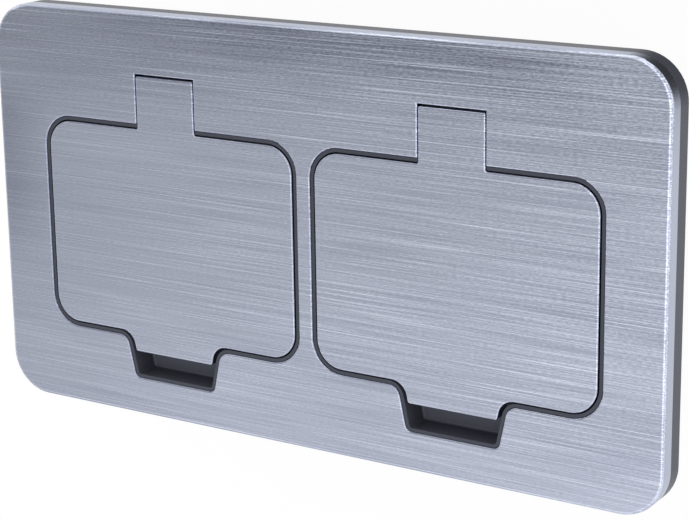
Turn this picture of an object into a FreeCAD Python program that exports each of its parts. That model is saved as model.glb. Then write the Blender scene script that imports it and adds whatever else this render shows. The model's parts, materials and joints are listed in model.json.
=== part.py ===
import FreeCAD, Part

import math
import os

import Sketcher

# Floor socket box: a brushed steel cover plate with two flip lids, a moulded frame under it,
# two 13 A outlets at the bottom of their wells and a flush steel back box.
# Millimetres. X runs along the plate, Y towards the hinges, Z out of the floor.
# The origin is the middle of the back box's rear face.

Vector = FreeCAD.Vector

dimensions = {
    # Back box
    "box_width": 135.0,
    "box_height": 75.0,
    "box_depth": 47.0,
    "box_wall": 1.2,
    "box_corner": 3.0,
    "lug_inset": 7.2,
    "lug_nose": 3.2,
    "lug_width": 12.0,
    "lug_drop": 3.0,
    "rear_hole_span_x": 90.0,
    "rear_hole_span_y": 40.0,
    "rear_hole_bore": 5.0,
    "knockout_bore": 20.0,
    "knockout_groove": 1.0,
    "knockout_depth": 0.5,
    "knockout_pitch": 62.0,
    "cable_entry_rise": 22.0,
    # Cover plate
    "plate_width": 180.0,
    "plate_height": 100.0,
    "plate_corner": 10.4,
    "plate_thickness": 3.8,
    "plate_edge_round": 0.8,
    "rim_round": 0.35,
    # Cut-outs in the plate
    "lid_pitch": 77.4,
    "cutout_width": 73.7,
    "cutout_height": 53.5,
    "cutout_corner": 7.8,
    "cutout_centre_y": -3.45,
    "notch_reach": 10.5,
    "notch_width": 23.6,
    "notch_angle": 12.0,
    "notch_corner": 1.8,
    "notch_shoulder": 3.0,
    "hinge_slot_reach": 12.1,
    "hinge_slot_width": 17.05,
    # Lids
    "lid_gap": 1.25,
    "finger_tab_width": 22.8,
    "finger_tab_reach": 4.95,
    "finger_tab_corner": 0.6,
    "finger_tab_shoulder": 4.0,
    "hinge_tab_gap": 0.5,
    "hinge_tab_side_gap": 0.175,
    "hinge_tab_corner": 0.5,
    "hinge_tab_heel": 1.0,
    "hinge_tab_neck": 0.6,
    "pin_setback": 4.6,
    "pin_bore": 2.1,
    "pin_size": 2.0,
    "pin_hold": 3.0,
    "pin_groove_round": 1.0,
    "lid_edge_round": 0.35,
    "liner_gap": 1.2,
    "liner_thickness": 2.5,
    "liner_corner": 4.0,
    "liner_pocket": 1.0,
    "liner_rim": 3.0,
    # Moulded frame and the lid wells that stand in it
    "flange_thickness": 4.2,
    "shoulder_reach": 1.2,
    "shoulder_thickness": 2.0,
    "hinge_block_wall": 1.0,
    "lining_fit": 0.1,
    "lining_wall": 0.8,
    "lining_set_back": 0.3,
    "ledge_drop": 1.0,
    "finger_pocket_floor": 1.0,
    "finger_pocket_round": 1.6,
    "finger_pocket_rear": 1.2,
    "finger_pocket_heel": 0.7,
    "hinge_well_floor": 1.0,
    "well_width": 47.0,
    "well_height": 44.0,
    "well_corner": 4.0,
    "well_offset_x": 31.0,
    "well_centre_y": -3.0,
    "well_depth": 14.0,
    "face_lip": 1.0,
    "skirt_wall": 1.4,
    "boss_size": 6.4,
    "boss_reach": 4.3,
    "boss_row": 17.0,
    "boss_root": 0.5,
    "overlap": 1.0,
    # Gaskets and seals
    "gasket_width": 3.0,
    "gasket_inset": 3.0,
    "gasket_thickness": 1.0,
    "seal_inset": 0.65,
    "seal_width": 2.0,
    "seal_gap": 0.1,
    # Outlets
    "face_thickness": 4.5,
    "face_fit": 0.2,
    "face_corner": 0.6,
    "pin_line_y": -13.5,
    "phase_pin_span": 22.2,
    "earth_pin_rise": 22.2,
    "phase_slot_width": 7.2,
    "phase_slot_height": 4.6,
    "earth_slot_width": 4.7,
    "earth_slot_height": 8.8,
    "face_dish": 0.8,
    "face_dish_border": 3.0,
    "face_dish_corner": 3.0,
    "slot_lead": 0.4,
    # Shutters
    "shutter_thickness": 3.0,
    "shutter_clearance": 0.3,
    "shutter_travel": 6.5,
    "shutter_cover": 1.6,
    "shutter_corner": 1.0,
    "shutter_arm_width": 7.0,
    "shutter_arm_reach": 19.4,
    "shutter_ramp": 2.2,
    "spring_size": 3.2,
    "spring_wire": 0.5,
    "spring_turns": 6.5,
    "spring_slot_width": 3.8,
    "spring_slot_length": 13.5,
    # Contacts and base
    "base_depth": 21.5,
    "base_ear_thickness": 5.0,
    "base_corner": 1.5,
    "base_rib_width": 1.6,
    "base_rib_reach": 1.4,
    "base_rib_pitch": 14.0,
    "contact_height": 8.0,
    "contact_width": 7.0,
    "contact_grip": 3.9,
    "brass_thickness": 0.8,
    "earth_contact_width": 9.0,
    "strip_rise": 9.0,
    "strip_lane": 5.5,
    "strip_width": 3.0,
    "chamber_gap": 0.6,
    "earth_lane_depth": 6.0,
    "terminal_length": 7.0,
    "terminal_width": 7.0,
    "terminal_drop": 8.0,
    "terminal_corner": 0.5,
    "terminal_bore_rise": 1.0,
    "terminal_wire_bore": 3.6,
    "terminal_reach": 7.2,
    # Fasteners
    "thread_fit": 0.05,
    "shank_fit": 0.15,
    "head_fit": 0.1,
    "head_recess": 0.2,
    "tip_gap": 0.2,
    "cover_screw_size": 3.0,
    "cover_screw_head": 5.6,
    "cover_screw_head_height": 2.0,
    "cover_screw_inset_x": 12.0,
    "cover_screw_inset_y": 11.0,
    "cover_screw_grip": 3.0,
    "frame_screw_size": 3.5,
    "frame_screw_head": 6.9,
    "frame_screw_head_height": 1.9,
    "frame_screw_length": 14.0,
    "base_screw_size": 3.0,
    "base_screw_head": 5.6,
    "base_screw_head_height": 2.2,
    "base_screw_grip": 8.0,
    "lid_screw_size": 2.0,
    "lid_screw_head": 3.8,
    "lid_screw_head_height": 1.1,
    "lid_screw_grip": 3.0,
    "lid_screw_inset": 5.0,
    "terminal_screw_size": 3.0,
    "terminal_screw_head": 5.0,
    "terminal_screw_head_height": 2.2,
    "terminal_screw_end": 0.5,
    "drive_slot": 0.8,
    "drive_depth": 0.8,
    "drive_share": 0.78,
    "earth_stud_offset": 50.0,
    "earth_screw_size": 4.0,
    "earth_screw_head": 8.0,
    "earth_screw_head_height": 2.4,
    "earth_screw_stand": 2.6,
    "earth_pad_rise": 1.2,
    "grommet_bore": 10.0,
    "grommet_flange": 26.0,
    "grommet_lip": 1.6,
    "grommet_fit": 0.1,
}


class Size:
    """A length that knows its number and its formula in the sheet's cells."""

    def __init__(self, value, formula):
        self.value = value
        self.formula = formula

    def __add__(self, other):
        other = as_size(other)
        return Size(self.value + other.value, f"({self.formula} + {other.formula})")

    def __radd__(self, other):
        return as_size(other) + self

    def __sub__(self, other):
        other = as_size(other)
        return Size(self.value - other.value, f"({self.formula} - {other.formula})")

    def __rsub__(self, other):
        return as_size(other) - self

    def __mul__(self, other):
        other = as_size(other)
        return Size(self.value * other.value, f"{self.formula} * {other.formula}")

    def __rmul__(self, other):
        return as_size(other) * self

    def __truediv__(self, other):
        other = as_size(other)
        return Size(self.value / other.value, f"{self.formula} / ({other.formula})")

    def __neg__(self):
        return Size(-self.value, f"(0 - {self.formula})")


def as_size(number):
    if isinstance(number, Size):
        return number
    return Size(float(number), f"({float(number)})")


def tangent(angle):
    return Size(math.tan(math.radians(angle.value)), f"tan({angle.formula} * 1 deg)")


def secant(angle):
    return Size(1 / math.cos(math.radians(angle.value)), f"(1 / cos({angle.formula} * 1 deg))")


doc = FreeCAD.newDocument("FloorSocketBox")
sheet = doc.addObject("Spreadsheet::Sheet", "Dims")
for row, (alias, number) in enumerate(dimensions.items(), start=1):
    sheet.set(f"A{row}", alias.replace("_", " "))
    sheet.set(f"B{row}", str(number))
    sheet.setAlias(f"B{row}", alias)
doc.recompute()


def dim(alias):
    return Size(float(sheet.get(alias)), f"Dims.{alias}")


nodes = []

# How far a point may lie from a level or a side and still count as on it
touch = 1e-4

# Levels above the origin, from the rear of the box to the face of the plate
floor_level = dim("box_depth")
flange_top = floor_level + dim("flange_thickness")
plate_top = flange_top + dim("plate_thickness")
ledge_top = flange_top - dim("ledge_drop")
shoulder_under = flange_top - dim("shoulder_thickness")
lining_top = plate_top - dim("lining_set_back")
face_top = plate_top - dim("well_depth")
face_under = face_top - dim("face_thickness")
base_under = face_under - dim("base_depth")
strip_level = base_under + dim("strip_rise")
shutter_top = face_under - dim("shutter_clearance")
shutter_under = shutter_top - dim("shutter_thickness")
cavity_floor = shutter_under - dim("shutter_clearance")

# Lid opening, seen from the front
cutout_low = dim("cutout_centre_y") - dim("cutout_height") / 2
cutout_high = dim("cutout_centre_y") + dim("cutout_height") / 2
notch_low = cutout_low - dim("notch_reach")
slot_end = cutout_high + dim("hinge_slot_reach")
lid_low = cutout_low + dim("lid_gap")
lid_high = cutout_high - dim("lid_gap")
tab_low = lid_low - dim("finger_tab_reach")
hinge_tab_half = dim("hinge_slot_width") / 2 - dim("hinge_tab_side_gap")
hinge_tab_end = slot_end - dim("hinge_tab_gap")
pin_y = hinge_tab_end - dim("pin_setback")
pin_level = plate_top - dim("plate_thickness") / 2

# Wells and outlets
well_low = dim("well_centre_y") - dim("well_height") / 2
well_high = dim("well_centre_y") + dim("well_height") / 2
chamber_half_x = dim("well_width") / 2 + dim("face_lip")
chamber_low = well_low - dim("face_lip")
chamber_high = well_high + dim("face_lip")
skirt_half_x = chamber_half_x + dim("skirt_wall")
skirt_low = chamber_low - dim("skirt_wall")
skirt_high = chamber_high + dim("skirt_wall")
earth_y = dim("pin_line_y") + dim("earth_pin_rise")
shutter_low = dim("pin_line_y") - dim("phase_slot_height") / 2 - dim("shutter_cover")
shutter_high = dim("pin_line_y") + dim("phase_slot_height") / 2 + dim("shutter_cover")
cavity_low = shutter_low - dim("shutter_travel") - dim("shutter_clearance")
arm_end = shutter_high + dim("shutter_arm_reach")
lining_inset = dim("lining_fit") + dim("lining_wall")
lug_x = dim("box_width") / 2 - dim("lug_inset")


def new_body(label):
    body = doc.addObject("PartDesign::Body", label)
    body.Label = label
    body.AllowCompound = True
    nodes.append(body)
    return body


def bind(item, place, size):
    item.setExpression(place, as_size(size).formula)


def new_sketch(body, plane, offset):
    """Sketch on one of the body's own planes, moved along the plane's normal."""
    drawing = body.newObject("Sketcher::SketchObject", f"{body.Label}_outline")
    base = [item for item in body.Origin.OriginFeatures if item.Role == plane][0]
    drawing.AttachmentSupport = [(base, "")]
    drawing.MapMode = "FlatFace"
    offset = as_size(offset)
    drawing.AttachmentOffset = FreeCAD.Placement(Vector(0, 0, offset.value), FreeCAD.Rotation())
    bind(drawing, "AttachmentOffset.Base.z", offset)
    return drawing


def hold_point(drawing, geometry, end, x, y):
    """Tie a point of the sketch to its two distances from the origin."""
    for kind, size in (("DistanceX", as_size(x)), ("DistanceY", as_size(y))):
        number = drawing.addConstraint(
            Sketcher.Constraint(kind, -1, 1, geometry, end, size.value)
        )
        bind(drawing, f"Constraints[{number}]", size)


def draw_outline(drawing, corners):
    """Closed outline through corners (x, y, radius), with a tangent arc at each rounded one."""
    corners = [tuple(as_size(item) for item in corner) for corner in corners]
    count = len(corners)
    points = [Vector(x.value, y.value, 0) for x, y, _ in corners]
    starts = []
    ends = []
    centres = []
    for i, (_, _, radius) in enumerate(corners):
        before = (points[i - 1] - points[i]).normalize()
        after = (points[(i + 1) % count] - points[i]).normalize()
        half = before.getAngle(after) / 2
        reach = radius.value / math.tan(half)
        starts.append(points[i] + before * reach)
        ends.append(points[i] + after * reach)
        middle = (before + after).normalize()
        centres.append(points[i] + middle * (radius.value / math.sin(half)))
    lines = []
    for i in range(count):
        side = Part.LineSegment(ends[i], starts[(i + 1) % count])
        lines.append(drawing.addGeometry(side, False))
    for i, (x, y, radius) in enumerate(corners):
        arriving = lines[i - 1]
        leaving = lines[i]
        if radius.value == 0:
            drawing.addConstraint(Sketcher.Constraint("Coincident", arriving, 2, leaving, 1))
            hold_point(drawing, leaving, 1, x, y)
            continue
        middle = centres[i] + (points[i] - centres[i]).normalize() * radius.value
        bow = Part.Arc(starts[i], middle, ends[i])
        arc = drawing.addGeometry(bow, False)
        turns_left = (points[i] - points[i - 1]).cross(points[(i + 1) % count] - points[i]).z > 0
        first, last = (1, 2) if turns_left else (2, 1)
        corner = drawing.addGeometry(Part.Point(points[i]), True)
        drawing.addConstraint(Sketcher.Constraint("Tangent", arriving, 2, arc, first))
        drawing.addConstraint(Sketcher.Constraint("Tangent", arc, last, leaving, 1))
        drawing.addConstraint(Sketcher.Constraint("PointOnObject", corner, 1, arriving))
        drawing.addConstraint(Sketcher.Constraint("PointOnObject", corner, 1, leaving))
        hold_point(drawing, corner, 1, x, y)
        number = drawing.addConstraint(Sketcher.Constraint("Radius", arc, radius.value))
        bind(drawing, f"Constraints[{number}]", radius)


def draw_circle(drawing, x, y, diameter):
    x = as_size(x)
    y = as_size(y)
    radius = as_size(diameter) / 2
    ring = Part.Circle(Vector(x.value, y.value, 0), Vector(0, 0, 1), radius.value)
    number = drawing.addGeometry(ring, False)
    hold_point(drawing, number, 3, x, y)
    size = drawing.addConstraint(Sketcher.Constraint("Radius", number, radius.value))
    bind(drawing, f"Constraints[{size}]", radius)


def rectangle(left, right, low, high, radius=0):
    return [(left, low, radius), (right, low, radius), (right, high, radius), (left, high, radius)]


def block(centre_x, centre_y, width, height, radius=0):
    half_x = width / 2
    half_y = height / 2
    return rectangle(centre_x - half_x, centre_x + half_x, centre_y - half_y, centre_y + half_y, radius)


def draw(body, plane, offset, outlines, circles):
    drawing = new_sketch(body, plane, offset)
    for outline in outlines:
        draw_outline(drawing, outline)
    for circle in circles:
        draw_circle(drawing, *circle)
    return drawing


def add(body, bottom, top, outlines=(), circles=(), plane="XY_Plane", taper=0):
    """Pad from one level to another."""
    drawing = draw(body, plane, bottom, outlines, circles)
    pad = body.newObject("PartDesign::Pad", f"{body.Label}_pad")
    pad.Profile = drawing
    bind(pad, "Length", as_size(top) - bottom)
    pad.TaperAngle = taper
    drawing.Visibility = False
    doc.recompute()
    check(pad)
    return pad


def cut(body, bottom, top, outlines=(), circles=(), plane="XY_Plane"):
    """Pocket between two levels. It has to take material away."""
    before = body.Shape.Volume
    drawing = draw(body, plane, top, outlines, circles)
    pocket = body.newObject("PartDesign::Pocket", f"{body.Label}_pocket")
    pocket.Profile = drawing
    bind(pocket, "Length", as_size(top) - bottom)
    drawing.Visibility = False
    doc.recompute()
    check(pocket)
    if body.Shape.Volume > before - touch:
        raise RuntimeError(f"{pocket.Label} cuts nothing")
    return pocket


def check(item):
    if "Invalid" in item.State or "Error" in item.State:
        raise RuntimeError(f"{item.Label} failed: {item.State}")


def edges_where(body, test):
    """Names of the edges whose points all pass the test."""
    found = []
    for number, edge in enumerate(body.Shape.Edges, start=1):
        ends = [edge.valueAt(edge.FirstParameter), edge.valueAt(edge.LastParameter)]
        ends.append(edge.CenterOfMass)
        if all(test(point) for point in ends):
            found.append(f"Edge{number}")
    if not found:
        raise RuntimeError(f"{body.Label} has no such edge")
    return found


def soften(body, kind, size, test):
    """Fillet or chamfer on the edges that pass the test."""
    tip = body.Tip
    names = edges_where(body, test)
    dressing = body.newObject(f"PartDesign::{kind}", f"{body.Label}_{kind.lower()}")
    dressing.Base = (tip, names)
    bind(dressing, "Radius" if kind == "Fillet" else "Size", size)
    doc.recompute()
    check(dressing)


def at_level(level, point):
    return abs(point.z - level.value) < touch


# Outlines of the lid opening


def opening_outline(middle, inset):
    """The plate's cut-out with its finger notch, shrunk by inset, without the hinge slot."""
    half = dim("cutout_width") / 2 - inset
    low = cutout_low + inset
    high = cutout_high - inset
    foot = dim("notch_width") / 2 + inset * tangent(dim("notch_angle"))
    foot = foot - inset * secant(dim("notch_angle"))
    head = foot + dim("notch_reach") * tangent(dim("notch_angle"))
    corner = dim("cutout_corner") - inset
    toe = dim("notch_corner") - inset
    shoulder = dim("notch_shoulder") + inset
    return [
        (middle - half, low, corner),
        (middle - head, low, shoulder),
        (middle - foot, notch_low + inset, toe),
        (middle + foot, notch_low + inset, toe),
        (middle + head, low, shoulder),
        (middle + half, low, corner),
        (middle + half, high, corner),
        (middle - half, high, corner),
    ]


def hinge_slot(middle, low, high, half):
    return rectangle(middle - half, middle + half, low, high)


def lid_outline(middle):
    half = dim("cutout_width") / 2 - dim("lid_gap")
    corner = dim("cutout_corner") - dim("lid_gap")
    foot = dim("finger_tab_width") / 2
    head = foot + dim("finger_tab_reach") * tangent(dim("notch_angle"))
    return [
        (middle - half, lid_low, corner),
        (middle - head, lid_low, dim("finger_tab_shoulder")),
        (middle - foot, tab_low, dim("finger_tab_corner")),
        (middle + foot, tab_low, dim("finger_tab_corner")),
        (middle + head, lid_low, dim("finger_tab_shoulder")),
        (middle + half, lid_low, corner),
        (middle + half, lid_high, corner),
        (middle + hinge_tab_half, lid_high, dim("hinge_tab_neck")),
        (middle + hinge_tab_half, hinge_tab_end, dim("hinge_tab_corner")),
        (middle - hinge_tab_half, hinge_tab_end, dim("hinge_tab_corner")),
        (middle - hinge_tab_half, lid_high, dim("hinge_tab_neck")),
        (middle - half, lid_high, corner),
    ]


def plate_outline(inset=0):
    inset = as_size(inset)
    width = dim("plate_width") - inset * 2
    height = dim("plate_height") - inset * 2
    return block(as_size(0), as_size(0), width, height, dim("plate_corner") - inset)


def lid_middle(side):
    return dim("lid_pitch") / 2 * side


def well_middle(side):
    return dim("well_offset_x") * side


def corner_places(half_x, half_y):
    return [(half_x * x, half_y * y) for x in (-1, 1) for y in (-1, 1)]


def boss_places(side):
    """Two bosses beside the well, on the side away from the other outlet."""
    x = well_middle(side) + (skirt_half_x + dim("boss_reach")) * side
    return [(x, dim("well_centre_y") + dim("boss_row") * end) for end in (-1, 1)]


def arm(side, place, half):
    """Web from the wall of the well to a boss or an ear."""
    x, y = place
    near = well_middle(side) + (skirt_half_x - dim("overlap")) * side
    left, right = (near, x) if side > 0 else (x, near)
    return rectangle(left, right, y - half, y + half)


cover_screw_places = corner_places(
    dim("plate_width") / 2 - dim("cover_screw_inset_x"),
    dim("plate_height") / 2 - dim("cover_screw_inset_y"),
)
base_screw_places = boss_places(-1) + boss_places(1)
frame_screw_places = [(lug_x * x, as_size(0)) for x in (-1, 1)]


# Cover plate


def make_cover_plate():
    body = new_body("cover_plate")
    add(body, flange_top, plate_top, [plate_outline()])
    for side in (-1, 1):
        middle = lid_middle(side)
        cut(body, flange_top, plate_top, [opening_outline(middle, as_size(0))])
        slot_half = dim("hinge_slot_width") / 2
        overlap = dim("lid_gap")
        slot = hinge_slot(middle, cutout_high - overlap, slot_end, slot_half)
        cut(body, flange_top, plate_top, [slot])
        # Open grooves in the underside hold the ends of the hinge pin
        reach = slot_half + dim("pin_hold")
        half = dim("pin_bore") / 2
        groove = [
            (pin_y - half, flange_top, 0),
            (pin_y + half, flange_top, 0),
            (pin_y + half, pin_level + half, dim("pin_groove_round")),
            (pin_y - half, pin_level + half, dim("pin_groove_round")),
        ]
        cut(body, middle - reach, middle + reach, [groove], plane="YZ_Plane")
    holes = [(x, y, dim("cover_screw_size") + dim("thread_fit") * 2) for x, y in cover_screw_places]
    cut(body, flange_top, flange_top + dim("cover_screw_grip"), circles=holes)
    half_x = dim("plate_width").value / 2
    half_y = dim("plate_height").value / 2
    band = dim("plate_corner").value

    def on_outline(point):
        near = abs(point.x) > half_x - band or abs(point.y) > half_y - band
        return at_level(plate_top, point) and near and not in_opening(point)

    def on_opening(point):
        return at_level(plate_top, point) and in_opening(point)

    soften(body, "Fillet", dim("plate_edge_round"), on_outline)
    soften(body, "Fillet", dim("rim_round"), on_opening)


def in_opening(point):
    """True on the rim of a lid opening, seen from the front."""
    inner_x = dim("lid_pitch").value / 2 + dim("cutout_width").value / 2
    in_height = notch_low.value - touch < point.y < slot_end.value + touch
    return abs(point.x) < inner_x + touch and in_height


# Moulded frame under the plate


def make_under_frame():
    body = new_body("under_frame")
    add(body, floor_level, flange_top, [plate_outline()])
    fit = dim("lining_fit")
    for side in (-1, 1):
        middle = lid_middle(side)
        # The lid well drops in from above, and its shoulder lies in the rebate
        cut(body, floor_level, flange_top, [opening_outline(middle, as_size(0))])
        cut(body, shoulder_under, flange_top, [opening_outline(middle, -dim("shoulder_reach"))])
        cut(body, floor_level, flange_top, [hinge_block(middle, fit, dim("lid_gap"))])
    shanks = [(x, y, dim("cover_screw_size") + dim("thread_fit") * 2) for x, y in cover_screw_places]
    cut(body, floor_level, flange_top, circles=shanks)
    heads = [(x, y, dim("cover_screw_head") + dim("head_fit") * 2) for x, y in cover_screw_places]
    recess = dim("cover_screw_head_height") + dim("head_recess")
    cut(body, floor_level, floor_level + recess, circles=heads)
    cut(body, floor_level, floor_level + dim("gasket_thickness"), gasket_rings())


def hinge_block(middle, fit, overlap):
    """Block of the lid well round the hinge, or the room for it in the frame."""
    half = dim("hinge_slot_width") / 2 + dim("pin_hold") + fit
    end = slot_end + dim("hinge_block_wall") + fit
    return rectangle(middle - half, middle + half, cutout_high - overlap, end)


def gasket_rings():
    inset = dim("gasket_inset")
    return [plate_outline(inset), plate_outline(inset + dim("gasket_width"))]


# Lid wells: lining, ledge, finger pocket and hinge pocket above, walls of the outlet below


def make_lid_well(side, name):
    body = new_body(f"lid_well_{name}")
    middle = lid_middle(side)
    well = well_middle(side)
    fit = dim("lining_fit")
    # The lining stands up into the cut-out of the plate
    add(body, floor_level, lining_top, [opening_outline(middle, fit)])
    add(body, shoulder_under, flange_top, [opening_outline(middle, fit - dim("shoulder_reach"))])
    add(body, floor_level, flange_top, [hinge_block(middle, as_size(0), lining_inset)])
    cut(body, ledge_top, lining_top, [opening_outline(middle, lining_inset)])
    # Saddles close the grooves of the hinge pin from below
    half = dim("pin_size") / 2
    slot_half = dim("hinge_slot_width") / 2
    under_pin = pin_level - dim("pin_bore") / 2
    saddles = []
    for end in (-1, 1):
        inner = middle + slot_half * end
        outer = middle + (slot_half + dim("pin_hold")) * end
        left, right = (inner, outer) if end > 0 else (outer, inner)
        saddles.append(rectangle(left, right, pin_y - half, pin_y + half))
    add(body, floor_level, under_pin, saddles)
    slot = hinge_slot(middle, cutout_high - lining_inset, slot_end, slot_half)
    cut(body, floor_level + dim("hinge_well_floor"), lining_top, [slot])
    pocket_floor = floor_level + dim("finger_pocket_floor")
    cut(body, pocket_floor, ledge_top, [finger_pocket(middle)])
    # Walls that hold the outlet, with a lip over it
    skirt = rectangle(well - skirt_half_x, well + skirt_half_x, skirt_low, skirt_high)
    add(body, face_under, ledge_top, [skirt])
    boss_top = floor_level + dim("boss_root")
    bosses = boss_places(side)
    add(body, face_under, boss_top, circles=[(x, y, dim("boss_size")) for x, y in bosses])
    add(body, face_under, boss_top, [arm(side, place, dim("boss_size") / 2) for place in bosses])
    mouth = block(well, dim("well_centre_y"), dim("well_width"), dim("well_height"), dim("well_corner"))
    cut(body, face_under, ledge_top, [mouth])
    chamber = rectangle(well - chamber_half_x, well + chamber_half_x, chamber_low, chamber_high)
    cut(body, face_under, face_top, [chamber])
    # Screw holes
    shanks = [(x, y, dim("base_screw_size") + dim("thread_fit") * 2) for x, y in bosses]
    cut(body, face_under, face_under + dim("base_screw_grip") + dim("tip_gap"), circles=shanks)
    place = (lug_x * side, as_size(0))
    cut(body, floor_level, ledge_top, circles=[(*place, dim("frame_screw_size") + dim("shank_fit") * 2)])
    seat = ledge_top - dim("frame_screw_head_height")
    cut(body, seat, ledge_top, circles=[(*place, dim("frame_screw_head") + dim("shank_fit") * 2)])
    reach = notch_low.value + dim("notch_reach").value

    def on_pocket_floor(point):
        return at_level(pocket_floor, point) and point.y < reach + dim("finger_pocket_rear").value + touch

    soften(body, "Fillet", dim("finger_pocket_heel"), on_pocket_floor)


def finger_pocket(middle):
    """The notch region of the lining, carried on a little way under the lid's finger tab."""
    foot = dim("notch_width") / 2 + lining_inset * tangent(dim("notch_angle"))
    foot = foot - lining_inset * secant(dim("notch_angle"))
    low = notch_low + lining_inset
    high = cutout_low + dim("finger_pocket_rear")
    toe = dim("notch_corner") - lining_inset
    head = foot + (high - low) * tangent(dim("notch_angle"))
    round_top = dim("finger_pocket_round")
    return [
        (middle - foot, low, toe),
        (middle + foot, low, toe),
        (middle + head, high, round_top),
        (middle - head, high, round_top),
    ]


def make_floor_gasket():
    body = new_body("floor_gasket")
    add(body, floor_level, floor_level + dim("gasket_thickness"), gasket_rings())


# Lids, their liners, seals and hinge pins


def make_lid(side, name):
    body = new_body(f"lid_{name}")
    middle = lid_middle(side)
    add(body, flange_top, plate_top, [lid_outline(middle)])
    bore = [(pin_y, pin_level, dim("pin_bore"))]
    cut(body, middle - hinge_tab_half, middle + hinge_tab_half, circles=bore, plane="YZ_Plane")
    holes = [(x, y, dim("lid_screw_size") + dim("thread_fit") * 2) for x, y in lid_screw_places(side)]
    cut(body, flange_top, flange_top + dim("lid_screw_grip"), circles=holes)

    # The lower end of the hinge tab is bevelled, so that it turns clear of the well
    heel = dim("hinge_tab_heel")
    beyond = hinge_tab_end + dim("hinge_tab_gap")
    bevel = [
        (hinge_tab_end - heel, flange_top, 0),
        (beyond, flange_top, 0),
        (beyond, flange_top + heel, 0),
        (hinge_tab_end, flange_top + heel, 0),
    ]
    cut(body, middle - hinge_tab_half, middle + hinge_tab_half, [bevel], plane="YZ_Plane")
    soften(body, "Fillet", dim("lid_edge_round"), lambda point: at_level(plate_top, point))


def liner_box(side):
    """Left, right, low and high edge of the pad under a lid, inside the mouth of the well."""
    gap = dim("liner_gap")
    half = dim("well_width") / 2 - gap
    middle = well_middle(side)
    return middle - half, middle + half, well_low + gap, well_high - gap


def lid_screw_places(side):
    left, right, low, high = liner_box(side)
    inset = dim("lid_screw_inset")
    return [(x, y) for x in (left + inset, right - inset) for y in (low + inset, high - inset)]


def make_lid_liner(side, name):
    body = new_body(f"lid_liner_{name}")
    left, right, low, high = liner_box(side)
    under = flange_top - dim("liner_thickness")
    add(body, under, flange_top, [rectangle(left, right, low, high, dim("liner_corner"))])
    # The pad is hollowed between its rim and its screw posts
    rim = dim("liner_rim") + dim("lid_screw_inset")
    hollow = rectangle(left + rim, right - rim, low + rim, high - rim, dim("liner_corner") / 2)
    cut(body, under, under + dim("liner_pocket"), [hollow])
    shanks = [(x, y, dim("lid_screw_size") + dim("thread_fit") * 2) for x, y in lid_screw_places(side)]
    cut(body, under, flange_top, circles=shanks)
    heads = [(x, y, dim("lid_screw_head") + dim("thread_fit") * 2) for x, y in lid_screw_places(side)]
    cut(body, under, under + dim("lid_screw_head_height"), circles=heads)


def make_lid_seal(side, name):
    body = new_body(f"lid_seal_{name}")
    rings = []
    for inset in (dim("seal_inset"), dim("seal_inset") + dim("seal_width")):
        edge = dim("lid_gap") + inset
        width = dim("cutout_width") - edge * 2
        height = dim("cutout_height") - edge * 2
        corner = dim("cutout_corner") - edge
        rings.append(block(lid_middle(side), dim("cutout_centre_y"), width, height, corner))
    add(body, ledge_top, flange_top - dim("seal_gap"), rings)


def make_hinge_pin(side, name):
    body = new_body(f"hinge_pin_{name}")
    middle = lid_middle(side)
    reach = dim("hinge_slot_width") / 2 + dim("pin_hold") - dim("pin_bore") + dim("pin_size")
    pin = [(pin_y, pin_level, dim("pin_size"))]
    add(body, middle - reach, middle + reach, circles=pin, plane="YZ_Plane")


# Outlets


def slot_places(side):
    middle = well_middle(side)
    half = dim("phase_pin_span") / 2
    return (middle - half, middle + half)


def pin_slots(side):
    width = dim("phase_slot_width")
    height = dim("phase_slot_height")
    slots = [block(x, dim("pin_line_y"), width, height) for x in slot_places(side)]
    earth = block(well_middle(side), earth_y, dim("earth_slot_width"), dim("earth_slot_height"))
    return slots + [earth]


def make_socket_face(side, name):
    body = new_body(f"socket_face_{name}")
    middle = well_middle(side)
    half = chamber_half_x - dim("face_fit")
    low = chamber_low + dim("face_fit")
    high = chamber_high - dim("face_fit")
    corner = dim("face_corner")
    add(body, face_under, face_top, [rectangle(middle - half, middle + half, low, high, corner)])
    border = dim("face_lip") + dim("face_dish_border")
    left, right = middle - half + border, middle + half - border
    dish = rectangle(left, right, low + border, high - border, dim("face_dish_corner"))
    dish_floor = face_top - dim("face_dish")
    cut(body, dish_floor, face_top, [dish])
    cut(body, face_under, face_top, pin_slots(side))
    reach = dim("phase_pin_span").value / 2 + dim("phase_slot_width").value / 2 + touch
    slot_low = (dim("pin_line_y") - dim("phase_slot_height") / 2).value - touch
    slot_high = (earth_y + dim("earth_slot_height") / 2).value + touch

    def on_slot_rim(point):
        near = abs(point.x - middle.value) < reach and slot_low < point.y < slot_high
        return at_level(dish_floor, point) and near

    soften(body, "Chamfer", dim("slot_lead"), on_slot_rim)


def shutter_half():
    return dim("phase_pin_span") / 2 + dim("phase_slot_width") / 2 + dim("shutter_cover")


def make_shutter(side, name):
    body = new_body(f"shutter_{name}")
    middle = well_middle(side)
    half = shutter_half()
    arm_half = dim("shutter_arm_width") / 2
    corner = dim("shutter_corner")
    plate = [
        (middle - half, shutter_low, corner),
        (middle + half, shutter_low, corner),
        (middle + half, shutter_high, corner),
        (middle + arm_half, shutter_high, corner),
        (middle + arm_half, arm_end, 0),
        (middle - arm_half, arm_end, 0),
        (middle - arm_half, shutter_high, corner),
        (middle - half, shutter_high, corner),
    ]
    add(body, shutter_under, shutter_top, [plate])
    # The earth pin bears on this ramp and pushes the shutter aside
    ramp = [
        (arm_end - dim("shutter_ramp"), shutter_top, 0),
        (arm_end, shutter_top - dim("shutter_ramp"), 0),
        (arm_end, shutter_top, 0),
    ]
    cut(body, middle - arm_half, middle + arm_half, [ramp], plane="YZ_Plane")
    half = dim("spring_slot_width") / 2
    slot = rectangle(middle - half, middle + half, shutter_low, shutter_low + dim("spring_slot_length"))
    cut(body, shutter_under, shutter_top, [slot])


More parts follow.
